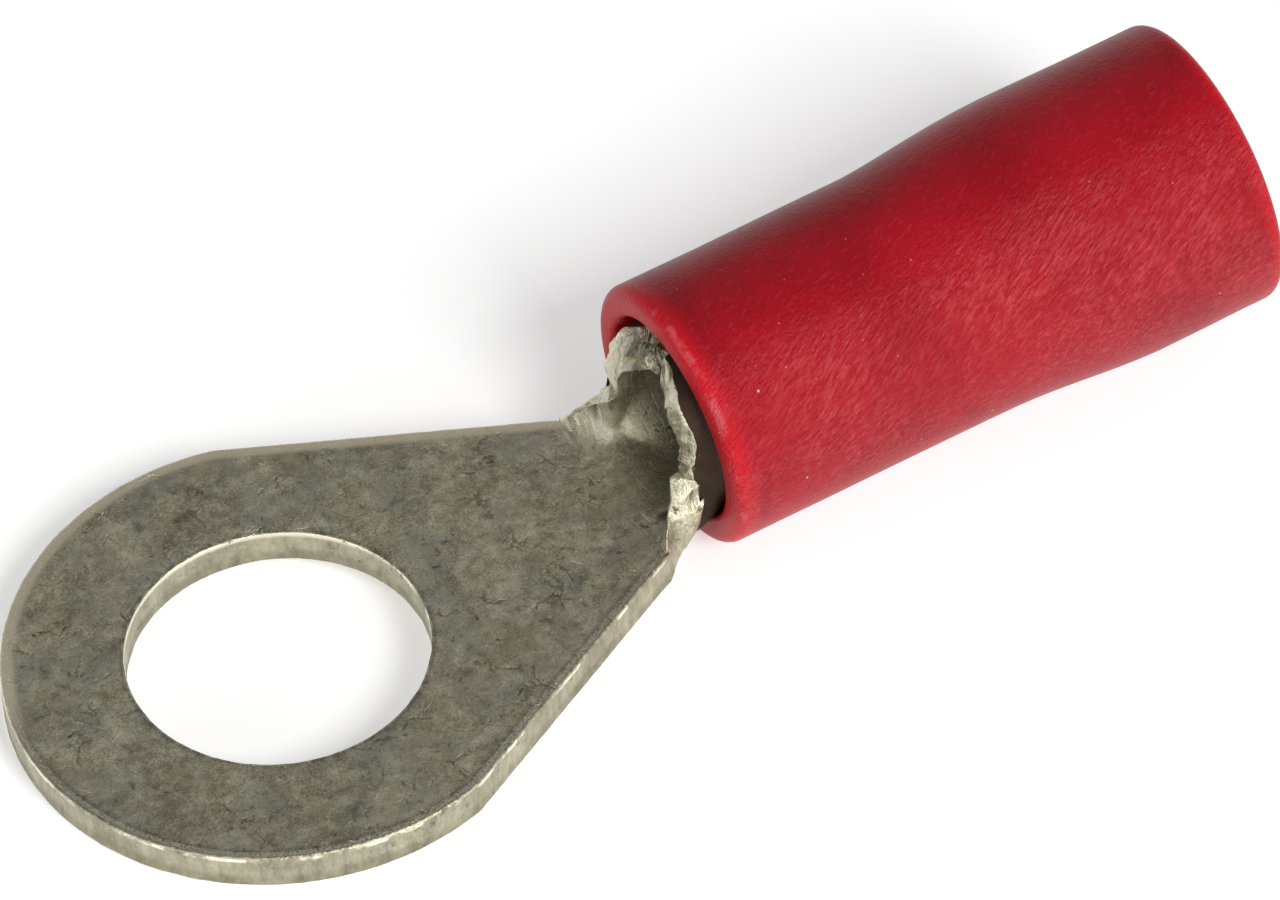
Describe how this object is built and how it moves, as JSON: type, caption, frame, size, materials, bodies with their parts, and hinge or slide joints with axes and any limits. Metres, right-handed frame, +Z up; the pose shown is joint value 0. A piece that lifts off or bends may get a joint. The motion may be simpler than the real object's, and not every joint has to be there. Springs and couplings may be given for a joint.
{
  "type": "insulated ring terminal",
  "caption": "Insulated ring terminal: flat ring for an M4 stud, tapered tongue rolled into a wire barrel, and a red plastic sleeve over the barrel.",
  "frame": {"origin": "on the axis of the stud hole, in the plane of the ring's underside", "axes": "+X along the barrel towards the wire end, +Z up through the stud hole, away from the underside"},
  "size_m": [0.0191, 0.0078, 0.0043],
  "materials": {
    "tinned_copper": "dull tin plate, mottled, with bright cut edges",
    "red_vinyl": "semi matt with a fine grain"
  },
  "bodies": {
    "root": {"terminal": "tinned_copper", "sleeve": "red_vinyl"}
  },
  "joints": []
}
